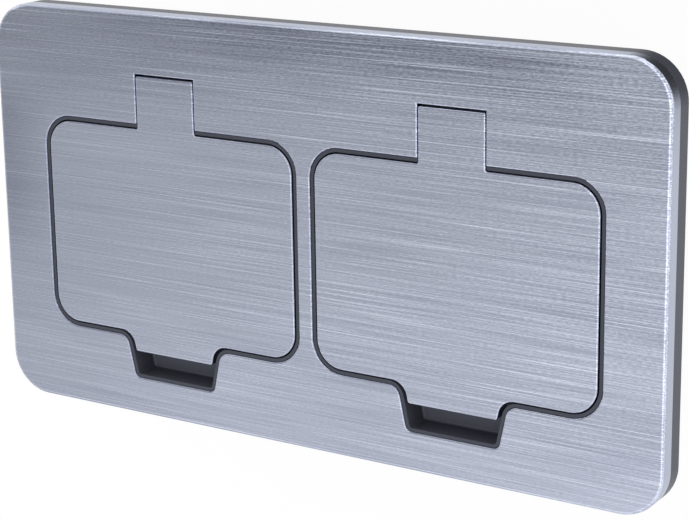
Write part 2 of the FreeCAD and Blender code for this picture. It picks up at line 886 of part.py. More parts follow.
def make_shutter_spring(side, name):
    radius = (dim("spring_size").value - dim("spring_wire").value) / 2
    clear = dim("shutter_clearance").value / 3
    low = cavity_low.value + clear + dim("spring_wire").value / 2
    seat = shutter_low.value + dim("spring_slot_length").value
    high = seat - clear - dim("spring_wire").value / 2
    pitch = (high - low) / dim("spring_turns").value
    path = Part.makeHelix(pitch, high - low, radius)
    section = Part.makeCircle(dim("spring_wire").value / 2, Vector(radius, 0, 0), Vector(0, 1, 0))
    coil = Part.Wire(path.Edges).makePipeShell([Part.Wire([section])], True, True)
    spring = doc.addObject("Part::Feature", f"shutter_spring_{name}")
    spring.Label = f"shutter_spring_{name}"
    spring.Shape = coil
    height = (shutter_top.value + shutter_under.value) / 2
    turn = FreeCAD.Rotation(Vector(1, 0, 0), -90)
    spring.Placement = FreeCAD.Placement(Vector(well_middle(side).value, low, height), turn)
    nodes.append(spring)


# Base with its chambers, brass strips and terminals


def contact_chambers(xs, y):
    half = dim("contact_width") / 2 + dim("chamber_gap")
    depth = dim("contact_grip") / 2 + dim("brass_thickness") + dim("chamber_gap")
    return [rectangle(x - half, x + half, y - depth, y + depth) for x in xs]


def strip_ends(offset):
    """Two ends along the plate of a strip that joins the contacts at both outlets."""
    return (
        well_middle(-1) + offset - dim("contact_width") / 2,
        well_middle(1) + offset + dim("contact_width") / 2,
    )


def strip_plan():
    """Name, contact offset from the outlet's middle, contact line, strip line and terminal side."""
    span = dim("phase_pin_span") / 2
    lane = dim("strip_lane")
    line = dim("pin_line_y")
    return (
        ("neutral", -span, line, line + lane, -1),
        ("live", span, line, line - lane, 1),
    )


def make_socket_base():
    body = new_body("socket_base")
    outer = well_middle(1) + skirt_half_x
    corner = dim("base_corner")
    add(body, base_under, face_under, [rectangle(-outer, outer, skirt_low, skirt_high, corner)])
    ear_under = face_under - dim("base_ear_thickness")
    size = dim("boss_size")
    add(body, ear_under, face_under, circles=[(x, y, size) for x, y in base_screw_places])
    ears = [arm(side, place, size / 2) for side in (-1, 1) for place in boss_places(side)]
    add(body, ear_under, face_under, ears)
    # Ribs stiffen the two long walls
    ribs = []
    for step in range(-3, 4):
        x = dim("base_rib_pitch") * step
        for wall, out in ((skirt_low, -1), (skirt_high, 1)):
            inner = wall - dim("overlap") * out
            outer_y = wall + dim("base_rib_reach") * out
            low, high = (inner, outer_y) if out > 0 else (outer_y, inner)
            half = dim("base_rib_width") / 2
            ribs.append(rectangle(x - half, x + half, low, high))
    add(body, base_under, face_under, ribs)
    holes = [(x, y, dim("base_screw_size") + dim("thread_fit") * 2) for x, y in base_screw_places]
    cut(body, ear_under, face_under, circles=holes)
    gap = dim("shutter_clearance")
    for side in (-1, 1):
        middle = well_middle(side)
        half = shutter_half() + gap
        arm_half = dim("shutter_arm_width") / 2 + gap
        arm_high = earth_y + dim("earth_contact_width") / 2 + gap
        cavity = [
            (middle - half, cavity_low, 0),
            (middle + half, cavity_low, 0),
            (middle + half, shutter_high + gap, 0),
            (middle + arm_half, shutter_high + gap, 0),
            (middle + arm_half, arm_high, 0),
            (middle - arm_half, arm_high, 0),
            (middle - arm_half, shutter_high + gap, 0),
            (middle - half, shutter_high + gap, 0),
        ]
        cut(body, cavity_floor, face_under, [cavity])
        chambers = contact_chambers(slot_places(side), dim("pin_line_y"))
        cut(body, strip_level, cavity_floor, chambers)
        earth_half_x = dim("contact_grip") / 2 + dim("brass_thickness") + dim("chamber_gap")
        earth_half_y = dim("earth_contact_width") / 2 + dim("chamber_gap")
        earth = rectangle(
            middle - earth_half_x, middle + earth_half_x, earth_y - earth_half_y, earth_y + earth_half_y
        )
        cut(body, strip_level, cavity_floor, [earth])
    gap = dim("chamber_gap")
    lane_top = strip_level + dim("brass_thickness") + gap
    for _, offset, line, lane, _ in strip_plan():
        left, right = strip_ends(offset)
        low = lane - dim("strip_width") / 2 - gap
        high = lane + dim("strip_width") / 2 + gap
        cut(body, strip_level, cavity_floor, [rectangle(left - gap, right + gap, low, high)])
        for side in (-1, 1):
            x = well_middle(side) + offset
            half = dim("contact_width") / 2 + gap
            link_low, link_high = (line, lane) if lane.value > line.value else (lane, line)
            cut(body, strip_level, lane_top, [rectangle(x - half, x + half, link_low, link_high)])
    earth_low = earth_y - dim("strip_width") / 2 - gap
    earth_high = earth_y + dim("strip_width") / 2 + gap
    left, right = well_middle(-1), well_middle(1)
    lane_high = lane_top + dim("earth_lane_depth")
    cut(body, strip_level, lane_high, [rectangle(left, right, earth_low, earth_high)])
    # Wire terminals open to the rear
    for x, y in terminal_places():
        half_x = dim("terminal_length") / 2 + gap / 2
        half_y = dim("terminal_width") / 2 + gap / 2
        pocket = rectangle(x - half_x, x + half_x, y - half_y, y + half_y)
        cut(body, base_under, lane_top, [pocket])


def terminal_places():
    reach = dim("terminal_reach")
    places = []
    for _, offset, _, lane, terminal in strip_plan():
        left, right = strip_ends(offset)
        x = left + reach if terminal < 0 else right - reach
        places.append((x, lane))
    places.append((as_size(0), earth_y))
    return places


def add_terminal(body, place):
    x, y = place
    under = strip_level - dim("terminal_drop")
    shape = block(x, y, dim("terminal_length"), dim("terminal_width"), dim("terminal_corner"))
    add(body, under, strip_level + dim("brass_thickness"), [shape])
    middle = under + dim("terminal_drop") / 2 + dim("terminal_bore_rise")
    bore = [(x, middle, dim("terminal_wire_bore"))]
    half = dim("terminal_width") / 2
    # The wire goes in along Y, under the clamping screw
    cut(body, -(y + half), -(y - half), circles=bore, plane="XZ_Plane")
    hole = [(x, y, dim("terminal_screw_size") + dim("thread_fit") * 2)]
    cut(body, under, middle, circles=hole)


def make_phase_strip(plan, place):
    name, offset, line, lane, _ = plan
    body = new_body(f"{name}_busbar")
    top = strip_level + dim("brass_thickness")
    left, right = strip_ends(offset)
    low = lane - dim("strip_width") / 2
    high = lane + dim("strip_width") / 2
    add(body, strip_level, top, [rectangle(left, right, low, high)])
    grip = dim("contact_grip") / 2
    wall = dim("brass_thickness")
    for side in (-1, 1):
        x = well_middle(side) + offset
        half = dim("contact_width") / 2
        link_low = line - grip - wall
        link_high = line + grip + wall
        foot_low, foot_high = (link_low, lane) if lane.value > line.value else (lane, link_high)
        add(body, strip_level, top, [rectangle(x - half, x + half, foot_low, foot_high)])
        for jaw_low in (line - grip - wall, line + grip):
            jaw = rectangle(x - half, x + half, jaw_low, jaw_low + wall)
            add(body, strip_level, top + dim("contact_height") - wall, [jaw])
    add_terminal(body, place)


def make_earth_strip(place):
    body = new_body("earth_busbar")
    top = strip_level + dim("brass_thickness")
    low = earth_y - dim("strip_width") / 2
    high = earth_y + dim("strip_width") / 2
    add(body, strip_level, top, [rectangle(well_middle(-1), well_middle(1), low, high)])
    grip = dim("contact_grip") / 2
    wall = dim("brass_thickness")
    half = dim("earth_contact_width") / 2
    for side in (-1, 1):
        x = well_middle(side)
        foot = rectangle(x - grip - wall, x + grip + wall, earth_y - half, earth_y + half)
        add(body, strip_level, top, [foot])
        for jaw_left in (x - grip - wall, x + grip):
            jaw = rectangle(jaw_left, jaw_left + wall, earth_y - half, earth_y + half)
            add(body, strip_level, top + dim("contact_height") - wall, [jaw])
    add_terminal(body, place)


# Fasteners


def make_screws(name, places, size, head, shank_low, shank_high, head_low, head_high, drive_up):
    """Identical screws with a slotted head. The slot is cut in the free side of the head."""
    body = new_body(name)
    add(body, shank_low, shank_high, circles=[(x, y, size) for x, y in places])
    add(body, head_low, head_high, circles=[(x, y, head) for x, y in places])
    slots = [block(x, y, head * dim("drive_share"), dim("drive_slot")) for x, y in places]
    if drive_up:
        cut(body, head_high - dim("drive_depth"), head_high, slots)
    else:
        cut(body, head_low, head_low + dim("drive_depth"), slots)


def make_fasteners():
    tip = flange_top + dim("cover_screw_grip") - dim("tip_gap")
    seat = floor_level + dim("cover_screw_head_height") + dim("head_recess")
    low = seat - dim("cover_screw_head_height")
    size = dim("cover_screw_size")
    make_screws("cover_screws", cover_screw_places, size, dim("cover_screw_head"), low, tip, low, seat, False)
    seat = ledge_top - dim("frame_screw_head_height")
    tip = ledge_top - dim("frame_screw_length")
    size = dim("frame_screw_size")
    head = dim("frame_screw_head")
    make_screws("frame_screws", frame_screw_places, size, head, tip, ledge_top, seat, ledge_top, True)
    seat = face_under - dim("base_ear_thickness")
    low = seat - dim("base_screw_head_height")
    tip = face_under + dim("base_screw_grip")
    size = dim("base_screw_size")
    make_screws("base_screws", base_screw_places, size, dim("base_screw_head"), low, tip, low, seat, False)
    for side, name in ((-1, "left"), (1, "right")):
        low = flange_top - dim("liner_thickness")
        seat = low + dim("lid_screw_head_height")
        tip = flange_top + dim("lid_screw_grip") - dim("tip_gap")
        size = dim("lid_screw_size")
        label = f"lid_screws_{name}"
        places = lid_screw_places(side)
        make_screws(label, places, size, dim("lid_screw_head"), low, tip, low, seat, False)
    under = strip_level - dim("terminal_drop")
    tip = under + dim("terminal_drop") / 2 - dim("terminal_screw_end")
    low = under - dim("terminal_screw_head_height")
    size = dim("terminal_screw_size")
    head = dim("terminal_screw_head")
    make_screws("terminal_screws", terminal_places(), size, head, low, tip, low, under, False)
    seat = dim("box_wall") + dim("earth_screw_head_height") + dim("earth_screw_stand")
    place = [(dim("earth_stud_offset"), as_size(0))]
    low = seat - dim("earth_screw_head_height")
    size = dim("earth_screw_size")
    head = dim("earth_screw_head")
    make_screws("earth_terminal_screw", place, size, head, dim("box_wall"), seat, low, seat, True)


# Back box


def make_back_box():
    body = new_body("back_box")
    width = dim("box_width")
    height = dim("box_height")
    wall = dim("box_wall")
    zero = as_size(0)
    add(body, zero, floor_level, [block(zero, zero, width, height, dim("box_corner"))])
    inside = block(zero, zero, width - wall * 2, height - wall * 2, dim("box_corner") - wall)
    cut(body, wall, floor_level, [inside])
    lug_top = floor_level - dim("lug_drop")
    inner_x = width / 2 - wall
    half = dim("lug_width") / 2
    for side in (-1, 1):
        near = (lug_x - dim("lug_nose")) * side
        far = (inner_x + wall / 2) * side
        left, right = (near, far) if side > 0 else (far, near)
        add(body, lug_top - wall, lug_top, [rectangle(left, right, -half, half)])
    holes = [(x, y, dim("frame_screw_size") + dim("thread_fit") * 2) for x, y in frame_screw_places]
    cut(body, lug_top - wall, lug_top, circles=holes)
    fixings = corner_places(dim("rear_hole_span_x") / 2, dim("rear_hole_span_y") / 2)
    cut(body, zero, wall, circles=[(x, y, dim("rear_hole_bore")) for x, y in fixings])
    # Knock-outs are ring grooves pressed into the walls, one of them is open for the cable
    outer = dim("knockout_bore") + dim("knockout_groove") * 2
    depth = dim("knockout_depth")
    rise = dim("cable_entry_rise")
    half_y = height / 2
    half_x = width / 2
    for x in (-dim("knockout_pitch") / 2, dim("knockout_pitch") / 2):
        rings = [(x, rise, outer), (x, rise, dim("knockout_bore"))]
        cut(body, half_y - depth, half_y, circles=rings, plane="XZ_Plane")
        cut(body, -half_y, -half_y + depth, circles=rings, plane="XZ_Plane")
        rings = [(x, zero, outer), (x, zero, dim("knockout_bore"))]
        cut(body, zero, depth, circles=rings)
    rings = [(zero, rise, outer), (zero, rise, dim("knockout_bore"))]
    cut(body, half_x - depth, half_x, circles=rings, plane="YZ_Plane")
    entry = [(zero, rise, dim("knockout_bore"))]
    cut(body, -half_x, -half_x + wall, circles=entry, plane="YZ_Plane")
    # Raised pad with the thread of the earth screw
    stud = [(dim("earth_stud_offset"), zero, dim("earth_screw_head"))]
    pad_top = wall + dim("earth_pad_rise")
    add(body, wall / 2, pad_top, circles=stud)
    thread = [(dim("earth_stud_offset"), zero, dim("earth_screw_size") + dim("thread_fit") * 2)]
    cut(body, wall, pad_top, circles=thread)


def make_cable_grommet():
    body = new_body("cable_grommet")
    wall_out = -dim("box_width") / 2
    wall_in = wall_out + dim("box_wall")
    lip = dim("grommet_lip")
    rise = dim("cable_entry_rise")
    zero = as_size(0)
    fit = dim("grommet_fit")
    neck = dim("knockout_bore") - fit * 2
    flange = [(zero, rise, dim("grommet_flange"))]
    add(body, wall_out - lip, wall_out, circles=flange, plane="YZ_Plane")
    add(body, wall_out, wall_in, circles=[(zero, rise, neck)], plane="YZ_Plane")
    add(body, wall_in, wall_in + lip, circles=[(zero, rise, dim("grommet_flange") - lip)], plane="YZ_Plane")
    hole = [(zero, rise, dim("grommet_bore"))]
    cut(body, wall_out - lip, wall_in + lip, circles=hole, plane="YZ_Plane")


make_cover_plate()
make_under_frame()
make_floor_gasket()
for side, name in ((-1, "left"), (1, "right")):
    make_lid_well(side, name)
    make_lid(side, name)
    make_lid_liner(side, name)
    make_lid_seal(side, name)
    make_hinge_pin(side, name)
    make_socket_face(side, name)
    make_shutter(side, name)
    make_shutter_spring(side, name)
make_socket_base()
for plan, place in zip(strip_plan(), terminal_places()):
    make_phase_strip(plan, place)
make_earth_strip(terminal_places()[-1])
make_fasteners()
make_back_box()
make_cable_grommet()

doc.recompute()
for item in doc.Objects:
    check(item)
os.makedirs("parts", exist_ok=True)
for node in nodes:
    shape = node.Shape
    if shape.isNull() or not shape.isValid():
        raise RuntimeError(f"{node.Label} has no valid shape")
    shape.exportStep(f"parts/{node.Label}.step")
    box = shape.BoundBox
    print(f"{node.Label}: {len(shape.Solids)} solids, {box.XLength:.2f} x {box.YLength:.2f} x {box.ZLength:.2f}")
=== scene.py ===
import json
import bpy
from mathutils import Matrix, Vector


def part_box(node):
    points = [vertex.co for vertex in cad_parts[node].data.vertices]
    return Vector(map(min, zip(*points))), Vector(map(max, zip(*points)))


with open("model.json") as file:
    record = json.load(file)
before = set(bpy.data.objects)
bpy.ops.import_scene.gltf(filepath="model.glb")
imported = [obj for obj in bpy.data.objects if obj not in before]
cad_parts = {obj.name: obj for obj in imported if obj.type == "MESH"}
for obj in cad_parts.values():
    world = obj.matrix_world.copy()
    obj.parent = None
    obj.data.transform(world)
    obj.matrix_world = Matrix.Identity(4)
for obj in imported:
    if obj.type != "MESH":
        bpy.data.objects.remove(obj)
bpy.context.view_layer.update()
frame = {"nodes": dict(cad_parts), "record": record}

# Floor socket box: brushed cover plate with two flip lids, moulded frame, outlets and back box.
# Metres. X along the plate, Y towards the hinges, Z out of the floor.

scene = bpy.context.scene
nodes = frame["nodes"]
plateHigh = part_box("cover_plate")[1]      # the plate's middle is at x = y = 0


# Small helpers for material trees

def newMaterial(name):
    material = bpy.data.materials.new(name)
    tree = emptyTree(material)
    output = tree.nodes.new("ShaderNodeOutputMaterial")
    shader = tree.nodes.new("ShaderNodeBsdfPrincipled")
    tree.links.new(shader.outputs["BSDF"], output.inputs["Surface"])
    return material, tree, shader


def emptyTree(owner):
    owner.use_nodes = True
    tree = owner.node_tree
    for node in list(tree.nodes):
        tree.nodes.remove(node)
    return tree


def place(tree, scale=(1.0, 1.0, 1.0), turn=(0.0, 0.0, 0.0)):
    # Object coordinates, stretched by scale
    coordinates = tree.nodes.new("ShaderNodeTexCoord")
    mapping = tree.nodes.new("ShaderNodeMapping")
    mapping.inputs["Scale"].default_value = scale
    mapping.inputs["Rotation"].default_value = turn
    tree.links.new(coordinates.outputs["Object"], mapping.inputs["Vector"])
    return mapping.outputs["Vector"]


def split(tree, vector):
    node = tree.nodes.new("ShaderNodeSeparateXYZ")
    tree.links.new(vector, node.inputs["Vector"])
    return node.outputs


def facing(tree):
    # Which way the surface looks, in the piece's own directions
    return split(tree, tree.nodes.new("ShaderNodeTexCoord").outputs["Normal"])


def noise(tree, vector, scale=1.0, detail=2.0, rough=0.5):
    node = tree.nodes.new("ShaderNodeTexNoise")
    node.inputs["Scale"].default_value = scale
    node.inputs["Detail"].default_value = detail
    node.inputs["Roughness"].default_value = rough
    tree.links.new(vector, node.inputs["Vector"])
    return node.outputs["Fac"]


def math(tree, kind, first, second=None, clamp=False):
    node = tree.nodes.new("ShaderNodeMath")
    node.operation = kind
    node.use_clamp = clamp
    for number, value in enumerate((first, second)):
        if value is None:
            continue
        if isinstance(value, (int, float)):
            node.inputs[number].default_value = value
        else:
            tree.links.new(value, node.inputs[number])
    return node.outputs["Value"]


def product(tree, first, *others):
    for value in others:
        first = math(tree, "MULTIPLY", first, value)
    return first


def total(tree, first, *others):
    for value in others:
        first = math(tree, "ADD", first, value)
    return first


def swing(tree, value, amount):
    # A noise value as a swing about zero
    return math(tree, "MULTIPLY", math(tree, "SUBTRACT", value, 0.5), amount)


def spread(tree, value, low, high, newLow=0.0, newHigh=1.0):
    node = tree.nodes.new("ShaderNodeMapRange")
    tree.links.new(value, node.inputs["Value"])
    node.inputs["From Min"].default_value = low
    node.inputs["From Max"].default_value = high
    node.inputs["To Min"].default_value = newLow
    node.inputs["To Max"].default_value = newHigh
    return node.outputs["Result"]


def blendColours(tree, value, dark, light):
    # Each colour is a plain one or another node's output
    node = tree.nodes.new("ShaderNodeMix")
    node.data_type = "RGBA"
    tree.links.new(value, node.inputs["Factor"])
    for socket, colour in (("A", dark), ("B", light)):
        if isinstance(colour, tuple):
            node.inputs[socket].default_value = (*colour, 1.0)
        else:
            tree.links.new(colour, node.inputs[socket])
    return node.outputs["Result"]


def addRoughness(tree, shader, value, atLow, atHigh):
    # Noise mostly stays between 0.3 and 0.7
    tree.links.new(spread(tree, value, 0.3, 0.7, atLow, atHigh), shader.inputs["Roughness"])


def addBump(tree, shader, height, strength, distance=0.00003):
    node = tree.nodes.new("ShaderNodeBump")
    node.inputs["Strength"].default_value = strength
    node.inputs["Distance"].default_value = distance
    tree.links.new(height, node.inputs["Height"])
    tree.links.new(node.outputs["Normal"], shader.inputs["Normal"])


# Brushed steel of the plate and the lids

def brushedSteel():
    look = {
        "dark": (0.23, 0.248, 0.335), "light": (0.80, 0.855, 1.0),
        "roughness": (0.24, 0.40),
        "anisotropy": 0.72,
        "bump": 0.7,
        "paintedSideShade": 0.8,                  # painted shade: the side faces are darker than the face
        "faceTurn": (0.15, 0.45),         # upward share of the normal, from side to face
    }
    material, tree, shader = newMaterial("brushedSteel")
    spot = split(tree, place(tree))
    grain, tone = brushMarks(tree, spot)
    # Painted shade: a darker strip along the hinge side and a darker patch at the left end
    tone = math(tree, "SUBTRACT", tone, total(tree, paintedShadeStrip(tree, spot), paintedShadeEnd(tree, spot)))
    steep = math(tree, "ABSOLUTE", facing(tree)["Z"])
    flat = spread(tree, steep, *look["faceTurn"])
    tone = math(tree, "ADD", math(tree, "MULTIPLY", tone, flat), 0.5)
    # Painted shade on the rounded edges, and a painted highlight along the hinge edge
    tone = math(tree, "ADD", tone, product(tree, flat, paintedRimShadeAndHighlight(tree, spot, steep)), clamp=True)
    # Painted shade: the side faces are darker than the face
    tone = math(tree, "MULTIPLY", tone, spread(tree, flat, 0.0, 1.0, look["paintedSideShade"], 1.0))
    tree.links.new(blendColours(tree, tone, look["dark"], look["light"]), shader.inputs["Base Color"])
    low, high = look["roughness"]
    addRoughness(tree, shader, grain, high, low)
    shader.inputs["Metallic"].default_value = 1.0
    shader.inputs["Anisotropic"].default_value = look["anisotropy"]
    # The gloss spreads across the grain
    across = tree.nodes.new("ShaderNodeCombineXYZ")
    across.inputs["Y"].default_value = 1.0
    turned = tree.nodes.new("ShaderNodeVectorTransform")
    turned.vector_type = "VECTOR"
    turned.convert_from = "OBJECT"
    turned.convert_to = "WORLD"
    tree.links.new(across.outputs["Vector"], turned.inputs["Vector"])
    tree.links.new(turned.outputs["Vector"], shader.inputs["Tangent"])
    addBump(tree, shader, grain, look["bump"])
    return material


def brushMarks(tree, spot):
    # All marks run along X, from broad belt bands down to single hairs
    marks = {
        "zone": (7.0, 60.0, 60.0), "zoneTone": 0.34,
        "band": (26.0, 620.0, 620.0), "bandTone": 0.2,
        "grain": (24.0, 3400.0, 3400.0), "grainTone": 1.55,
        "hair": (900.0, 4200.0, 4200.0), "hairTone": 1.1,
        "fineRough": 0.7,
        "scratch": (16.0, 3000.0, 3000.0), "scratchTurn": (0.0, 0.0, 0.008),
        "brightScratch": (0.67, 0.73, 0.0, 0.5),
        "darkScratch": (0.34, 0.25, 0.0, -0.14),
        "darkest": -0.24,
    }
    zone = noise(tree, place(tree, marks["zone"]))
    band = noise(tree, place(tree, marks["band"]))
    grain = noise(tree, place(tree, marks["grain"]), detail=1.0, rough=marks["fineRough"])
    hair = noise(tree, place(tree, marks["hair"]), detail=1.0, rough=marks["fineRough"])
    scratch = noise(tree, place(tree, marks["scratch"], marks["scratchTurn"]), detail=0.0)
    fine = total(tree, swing(tree, grain, marks["grainTone"]), swing(tree, hair, marks["hairTone"]))
    lines = total(tree, spread(tree, scratch, *marks["brightScratch"]),
                  spread(tree, scratch, *marks["darkScratch"]))
    fine = math(tree, "MAXIMUM", total(tree, fine, lines), marks["darkest"])
    tone = total(tree, product(tree, fine, grainDepth(tree, spot)),
                 swing(tree, band, marks["bandTone"]), swing(tree, zone, marks["zoneTone"]))
    return grain, tone


def grainDepth(tree, spot):
    # The grain is cut deeper towards the right end and the hinge side
    cut = {
        "everywhere": 0.3,
        "rightEnd": 0.55, "rightFrom": (-0.07, 0.08),
        "frontEdge": (-0.045, -0.015, 0.3, 1.0),       # where the right end's share fades
        "hingeSide": 0.35, "hingeRight": 0.15, "hingeFrom": (0.018, 0.044),
    }
    right = spread(tree, spot["X"], *cut["rightFrom"])
    front = spread(tree, spot["Y"], *cut["frontEdge"])
    hinged = spread(tree, spot["Y"], *cut["hingeFrom"])
    hingeCut = total(tree, math(tree, "MULTIPLY", right, cut["hingeRight"]), cut["hingeSide"])
    return total(tree, product(tree, right, cut["rightEnd"], front), product(tree, hinged, hingeCut),
                 cut["everywhere"])


def paintedShadeStrip(tree, spot):
    # Painted shade: a darker strip along the hinge side, which fades out towards both ends
    strip = {
        "edge": (0.037, 0.047, 0.0, 0.25),
        "leftEnd": (-0.07, -0.02, 0.3, 1.0),
        "rightEnd": (0.062, 0.08, 1.0, 0.1),
    }
    return product(tree, spread(tree, spot["Y"], *strip["edge"]), spread(tree, spot["X"], *strip["leftEnd"]),
                   spread(tree, spot["X"], *strip["rightEnd"]))


def paintedShadeEnd(tree, spot):
    # Painted shade: a darker patch at the left end, a little behind the middle
    patch = {
        "end": (-0.087, -0.073, 0.2, 0.0),
        "front": (-0.016, -0.004),
        "rear": (0.023, 0.031, 1.0, 0.0),
    }
    return product(tree, spread(tree, spot["X"], *patch["end"]), spread(tree, spot["Y"], *patch["front"]),
                   spread(tree, spot["Y"], *patch["rear"]))


def paintedRimShadeAndHighlight(tree, spot, steep):
    # Painted shade on the rounded edges, darkest at the left, and a painted highlight along the plate's hinge
    # edge, stronger towards the right; the plate's right edge gets no painted shade
    rim = {
        "turn": (0.93, 0.985), "inset": 0.002,
        "paintedRimShade": (-0.08, 0.06, -0.46, -0.15),
        "bright": (-0.05, 0.02, 0.0, 0.3),
    }
    share = spread(tree, steep, *rim["turn"], 1.0, 0.0)
    hingeEdge = math(tree, "GREATER_THAN", spot["Y"], plateHigh[1] - rim["inset"])
    inside = math(tree, "LESS_THAN", spot["X"], plateHigh[0] - rim["inset"])
    elsewhere = math(tree, "SUBTRACT", 1.0, hingeEdge)
    paintedRimShade = product(tree, spread(tree, spot["X"], *rim["paintedRimShade"]), inside, elsewhere)
    bright = product(tree, spread(tree, spot["X"], *rim["bright"]), hingeEdge)
    return product(tree, share, total(tree, paintedRimShade, bright))


# Other finishes

def mouldedPlastic(name, look):
    marks = {"cloud": (40.0, 40.0, 40.0), "pits": (2600.0, 2600.0, 2600.0), "pitDepth": 0.00004}
    material, tree, shader = newMaterial(name)
    cloud = noise(tree, place(tree, marks["cloud"]), detail=3.0)
    pits = noise(tree, place(tree, marks["pits"]))
    colour = blendColours(tree, cloud, look["dark"], look["light"])
    # Painted light: the floors of the finger pockets are made paler
    if "paintedPocketLight" in look:
        colour = blendColours(tree, paintedLightOnPocketFloors(tree), colour, look["paintedPocketLight"])
    tree.links.new(colour, shader.inputs["Base Color"])
    addRoughness(tree, shader, pits, *look["roughness"])
    shader.inputs["Specular Tint"].default_value = (*look["sheen"], 1.0)
    shader.inputs["Specular IOR Level"].default_value = look["level"]
    addBump(tree, shader, pits, look["bump"], marks["pitDepth"])
    return material


def paintedLightOnPocketFloors(tree):
    # Painted light: the upward-facing floors of the finger pockets are made paler
    pocket = {"rear": -0.026, "deepest": 0.0078, "shallowest": 0.0058, "turn": (0.3, 1.0)}
    spot = split(tree, place(tree))
    share = spread(tree, facing(tree)["Z"], *pocket["turn"])
    return product(tree, share,
                   math(tree, "LESS_THAN", spot["Y"], pocket["rear"]),
                   math(tree, "LESS_THAN", spot["Z"], plateHigh[2] - pocket["shallowest"]),
                   math(tree, "GREATER_THAN", spot["Z"], plateHigh[2] - pocket["deepest"]))


def plainMetal(name, look):
    material, tree, shader = newMaterial(name)
    cloud = noise(tree, place(tree, look["grain"]), detail=4.0, rough=0.6)
    tree.links.new(blendColours(tree, cloud, look["dark"], look["light"]), shader.inputs["Base Color"])
    addRoughness(tree, shader, cloud, *look["roughness"])
    shader.inputs["Metallic"].default_value = 1.0
    addBump(tree, shader, cloud, look["bump"])
    return material


def galvanisedSheet():
    look = {
        "dark": (0.42, 0.44, 0.46), "light": (0.62, 0.64, 0.66),
        "spangle": 240.0, "spangleTone": 0.6,
        "frost": (900.0, 900.0, 900.0), "frostTone": 0.4,
        "roughness": (0.34, 0.52), "bump": 0.2,
    }
    material, tree, shader = newMaterial("galvanisedSheet")
    cells = tree.nodes.new("ShaderNodeTexVoronoi")
    cells.inputs["Scale"].default_value = look["spangle"]
    tree.links.new(place(tree), cells.inputs["Vector"])
    colour = tree.nodes.new("ShaderNodeSeparateColor")
    tree.links.new(cells.outputs["Color"], colour.inputs["Color"])
    facet = colour.outputs["Red"]
    frost = noise(tree, place(tree, look["frost"]), detail=3.0)
    tone = total(tree, math(tree, "MULTIPLY", facet, look["spangleTone"]),
                 math(tree, "MULTIPLY", frost, look["frostTone"]))
    tree.links.new(blendColours(tree, tone, look["dark"], look["light"]), shader.inputs["Base Color"])
    tree.links.new(spread(tree, facet, 0.0, 1.0, *look["roughness"]), shader.inputs["Roughness"])
    shader.inputs["Metallic"].default_value = 1.0
    addBump(tree, shader, frost, look["bump"])
    return material


def makeFinishes():
    # One for each material slot that the frame names
    plain = (1.0, 1.0, 1.0)
    return {
        "plate_steel": brushedSteel(),
        "frame_plastic": mouldedPlastic("frameMoulding", {
            "dark": (0.043, 0.045, 0.057), "light": (0.056, 0.058, 0.071), "paintedPocketLight": (0.098, 0.102, 0.124),
            "sheen": (0.62, 0.72, 1.0), "level": 0.36, "roughness": (0.34, 0.44), "bump": 0.1}),
        "seal_rubber": mouldedPlastic("softRubber", {
            "dark": (0.020, 0.021, 0.025), "light": (0.031, 0.032, 0.037),
            "sheen": plain, "level": 0.5, "roughness": (0.6, 0.78), "bump": 0.2}),
        "face_plastic": mouldedPlastic("outletMoulding", {
            "dark": (0.066, 0.068, 0.078), "light": (0.080, 0.082, 0.093),
            "sheen": plain, "level": 0.5, "roughness": (0.3, 0.4), "bump": 0.08}),
        "shutter_plastic": mouldedPlastic("shutterMoulding", {
            "dark": (0.60, 0.59, 0.56), "light": (0.68, 0.67, 0.64),
            "sheen": plain, "level": 0.5, "roughness": (0.36, 0.46), "bump": 0.08}),
        "base_plastic": mouldedPlastic("baseMoulding", {
            "dark": (0.66, 0.65, 0.62), "light": (0.74, 0.73, 0.70),
            "sheen": plain, "level": 0.5, "roughness": (0.4, 0.5), "bump": 0.1}),
        "pin_steel": plainMetal("groundPin", {
            "dark": (0.50, 0.51, 0.53), "light": (0.64, 0.65, 0.67),
            "grain": (900.0, 120.0, 120.0), "roughness": (0.22, 0.34), "bump": 0.05}),
        "contact_brass": plainMetal("pressedBrass", {
            "dark": (0.62, 0.45, 0.18), "light": (0.80, 0.62, 0.30),
            "grain": (120.0, 900.0, 900.0), "roughness": (0.24, 0.38), "bump": 0.08}),
        "screw_steel": plainMetal("zincPlating", {
            "dark": (0.36, 0.37, 0.39), "light": (0.50, 0.51, 0.53),
            "grain": (700.0, 700.0, 700.0), "roughness": (0.30, 0.44), "bump": 0.1}),
        "box_steel": galvanisedSheet(),
        "spring_steel": plainMetal("springWire", {
            "dark": (0.40, 0.41, 0.43), "light": (0.56, 0.57, 0.59),
            "grain": (1200.0, 1200.0, 1200.0), "roughness": (0.2, 0.3), "bump": 0.05}),
    }


def dressNodes(finishes):
    slots = {part["node"]: part["material_slot"] for part in frame["record"]["subparts"]}
    for name, item in nodes.items():
        item.data.materials.clear()
        item.data.materials.append(finishes[slots[name]])


# Studio

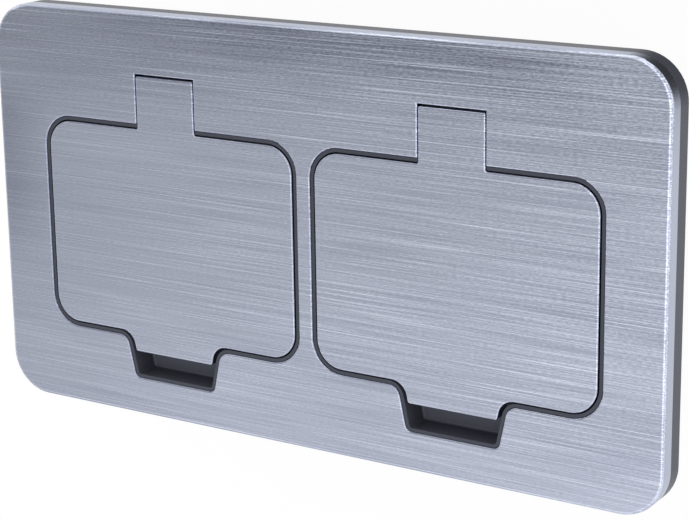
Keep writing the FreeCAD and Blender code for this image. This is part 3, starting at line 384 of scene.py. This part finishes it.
def addFloor():
    look = {
        "width": 6.0, "drop": 0.0002,     # just clear of the box's rear
        "grey": 0.86, "glow": 0.93,
        "darkReflectionPatch": (0.108, 0.086, 0.0), "darkReflectionPatchCore": 0.038, "darkReflectionPatchEdge": 0.062,
    }
    bpy.ops.object.select_all(action="DESELECT")
    bpy.ops.mesh.primitive_plane_add(size=look["width"], location=(0.0, 0.0, -look["drop"]))
    floor = bpy.context.object
    floor.name = "paleFloor"
    material = bpy.data.materials.new("paleFloor")
    tree = emptyTree(material)
    output = tree.nodes.new("ShaderNodeOutputMaterial")
    matt = tree.nodes.new("ShaderNodeBsdfDiffuse")
    matt.inputs["Color"].default_value = (look["grey"],) * 3 + (1.0,)
    glow = tree.nodes.new("ShaderNodeEmission")
    rays = tree.nodes.new("ShaderNodeLightPath").outputs
    # Painted dark reflection: beyond the corner by the right hinge the floor's glow fades to nothing in a
    # round patch for every ray but the camera's, so only reflections in the metal show it
    offset = tree.nodes.new("ShaderNodeVectorMath")
    offset.operation = "DISTANCE"
    tree.links.new(place(tree), offset.inputs[0])
    offset.inputs[1].default_value = look["darkReflectionPatch"]
    darkReflectionPatch = spread(tree, offset.outputs["Value"], look["darkReflectionPatchCore"], look["darkReflectionPatchEdge"])
    tree.links.new(math(tree, "MAXIMUM", darkReflectionPatch, rays["Is Camera Ray"]), glow.inputs["Strength"])
    seen = math(tree, "MAXIMUM", rays["Is Camera Ray"], rays["Is Glossy Ray"])
    seen = math(tree, "MAXIMUM", seen, rays["Is Transmission Ray"])
    pale = mixShaders(tree, math(tree, "MULTIPLY", seen, look["glow"]), matt, glow)
    # From below the floor is clear, so that the underside of the box shows
    side = tree.nodes.new("ShaderNodeNewGeometry")
    clear = tree.nodes.new("ShaderNodeBsdfTransparent")
    both = mixShaders(tree, side.outputs["Backfacing"], pale, clear)
    tree.links.new(both.outputs[0], output.inputs["Surface"])
    floor.data.materials.append(material)


def mixShaders(tree, share, first, second):
    node = tree.nodes.new("ShaderNodeMixShader")
    tree.links.new(share, node.inputs["Fac"])
    tree.links.new(first.outputs[0], node.inputs[1])
    tree.links.new(second.outputs[0], node.inputs[2])
    return node


def lightRoom():
    # A pale room: bright near the horizon, overhead brighter to the front, the right and the far rear
    sky = {
        "level": 0.20, "alongX": 0.43, "alongY": -2.75,
        "leftEnd": (-0.69, -0.62, -0.28, 0.0),
        "least": 0.13, "most": 1.15,
        "rear": (0.22, 0.50, 0.0, 0.62),
        "horizon": 1.35, "horizonEnds": (0.42, 0.66),
    }
    world = bpy.data.worlds.new("paleRoom")
    scene.world = world
    tree = emptyTree(world)
    output = tree.nodes.new("ShaderNodeOutputWorld")
    way = split(tree, tree.nodes.new("ShaderNodeTexCoord").outputs["Generated"])
    overhead = total(tree, math(tree, "MULTIPLY", way["X"], sky["alongX"]), sky["level"],
                     math(tree, "MULTIPLY", way["Y"], sky["alongY"]), spread(tree, way["X"], *sky["leftEnd"]))
    overhead = math(tree, "MINIMUM", math(tree, "MAXIMUM", overhead, sky["least"]), sky["most"])
    overhead = total(tree, overhead, spread(tree, way["Y"], *sky["rear"]))
    height = spread(tree, way["Z"], *sky["horizonEnds"])
    low = math(tree, "MULTIPLY", math(tree, "SUBTRACT", 1.0, height), sky["horizon"])
    room = plainBackground(tree)
    tree.links.new(total(tree, low, product(tree, height, overhead)), room.inputs["Strength"])
    rays = tree.nodes.new("ShaderNodeLightPath").outputs
    seen = math(tree, "MAXIMUM", rays["Is Camera Ray"], rays["Is Transmission Ray"])
    mix = mixShaders(tree, seen, room, plainBackground(tree))
    tree.links.new(mix.outputs[0], output.inputs["Surface"])


def plainBackground(tree):
    node = tree.nodes.new("ShaderNodeBackground")
    node.inputs["Color"].default_value = (1.0, 1.0, 1.0, 1.0)
    node.inputs["Strength"].default_value = 1.0
    return node


def hangLamp():
    # One large soft lamp high on the right, which draws the bright line along each edge
    look = {"from": (0.22, 0.10, 0.97), "energy": 1.05, "angle": 1.0}
    data = bpy.data.lights.new("softLamp", "SUN")
    data.energy = look["energy"]
    data.angle = look["angle"]
    lamp = bpy.data.objects.new("softLamp", data)
    scene.collection.objects.link(lamp)
    lamp.rotation_euler = Vector(look["from"]).to_track_quat("Z", "Y").to_euler()


def setCamera():
    # The photograph's viewpoint, measured from the middle of the plate's face
    view = {
        "place": (0.24988, 0.12099, 0.37596),
        "right": (0.84612, -0.01473, -0.5328),
        "up": (-0.12264, 0.96742, -0.22151),
        "lens": 106.5, "sensor": 36.0, "shift": -0.0435,
    }
    data = bpy.data.cameras.new("photographer")
    data.lens = view["lens"]
    data.sensor_width = view["sensor"]
    data.shift_y = view["shift"]
    camera = bpy.data.objects.new("photographer", data)
    scene.collection.objects.link(camera)
    right = Vector(view["right"]).normalized()
    up = Vector(view["up"])
    up = (up - right * up.dot(right)).normalized()
    back = right.cross(up)
    turn = Matrix((right, up, back)).transposed().to_4x4()
    middle = Vector((0.0, 0.0, plateHigh[2]))
    camera.matrix_world = Matrix.Translation(middle + Vector(view["place"])) @ turn
    scene.camera = camera


print("stage: finishes")
dressNodes(makeFinishes())
print("stage: studio")
addFloor()
lightRoom()
hangLamp()
setCamera()
scene.view_settings.view_transform = "Standard"

print("stage: finish")
